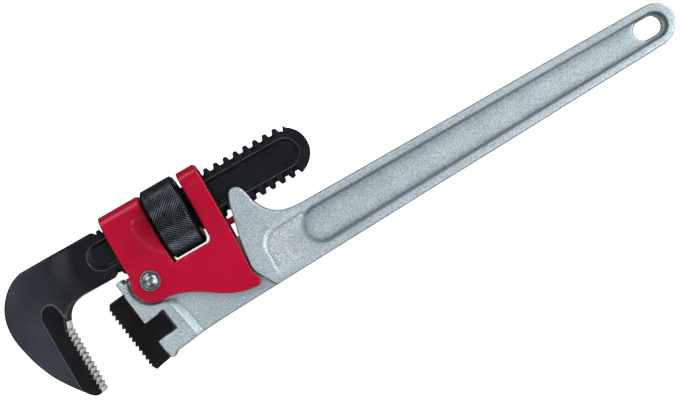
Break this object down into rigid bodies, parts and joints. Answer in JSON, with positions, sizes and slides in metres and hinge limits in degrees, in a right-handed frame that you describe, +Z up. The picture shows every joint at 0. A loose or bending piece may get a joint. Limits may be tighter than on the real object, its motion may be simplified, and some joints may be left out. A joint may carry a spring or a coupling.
{
  "type": "pipe wrench",
  "caption": "Adjustable pipe wrench with a sliding toothed hook jaw on a racked shank, a knurled nut in a rocking sheet frame, a fixed toothed heel jaw and a long ribbed handle.",
  "frame": {"origin": "centre of the bounding box's underside, with the wrench lying flat on its side", "axes": "+X runs along the shank from the hook jaw towards the handle's end, +Y is the nut's side, +Z is up through the wrench's thickness"},
  "size_m": [0.3353, 0.0741, 0.0348],
  "materials": {
    "silver_paint": "satin silver-grey paint on a forged handle",
    "red_paint": "gloss crimson paint on folded sheet steel",
    "slate_steel": "dark blue-grey forged steel with bright ground teeth",
    "black_steel": "black oxide",
    "zinc": "bright zinc plate",
    "spring_steel": "plain spring steel"
  },
  "bodies": {
    "handle": {"handle": "silver_paint", "heel_jaw": "black_steel", "heel_jaw_pin": "spring_steel", "coil_spring": "spring_steel", "flat_spring": "spring_steel", "flat_spring_rivet": "zinc"},
    "frame": {"frame": "red_paint", "frame_pin": "zinc", "pin_washers": "zinc"},
    "nut": {"adjusting_nut": "black_steel"},
    "hook_jaw": {"hook_jaw": "slate_steel"}
  },
  "joints": [
    {"name": "frame_rock", "type": "hinge", "parent": "handle", "child": "frame", "pos_m": [-0.10025, -0.00065, 0.0174], "axis": [0, 0, 1], "range_deg": [-5, 0], "stiffness_Nm_per_rad": 4, "springref_deg": 2.86, "deforming": ["coil_spring"]},
    {"name": "nut_spin", "type": "hinge", "parent": "frame", "child": "nut", "pos_m": [-0.07755, 0.01965, 0.0174], "axis": [1, 0, 0], "range_deg": [-1321, 2642]},
    {"name": "jaw_slide", "type": "slide", "parent": "frame", "child": "hook_jaw", "axis": [1, 0, 0], "range_m": [-0.038, 0.019]}
  ],
  "couplings": [
    {"joint": "nut_spin", "follows": "jaw_slide", "rad_per_m": -1213}
  ]
}
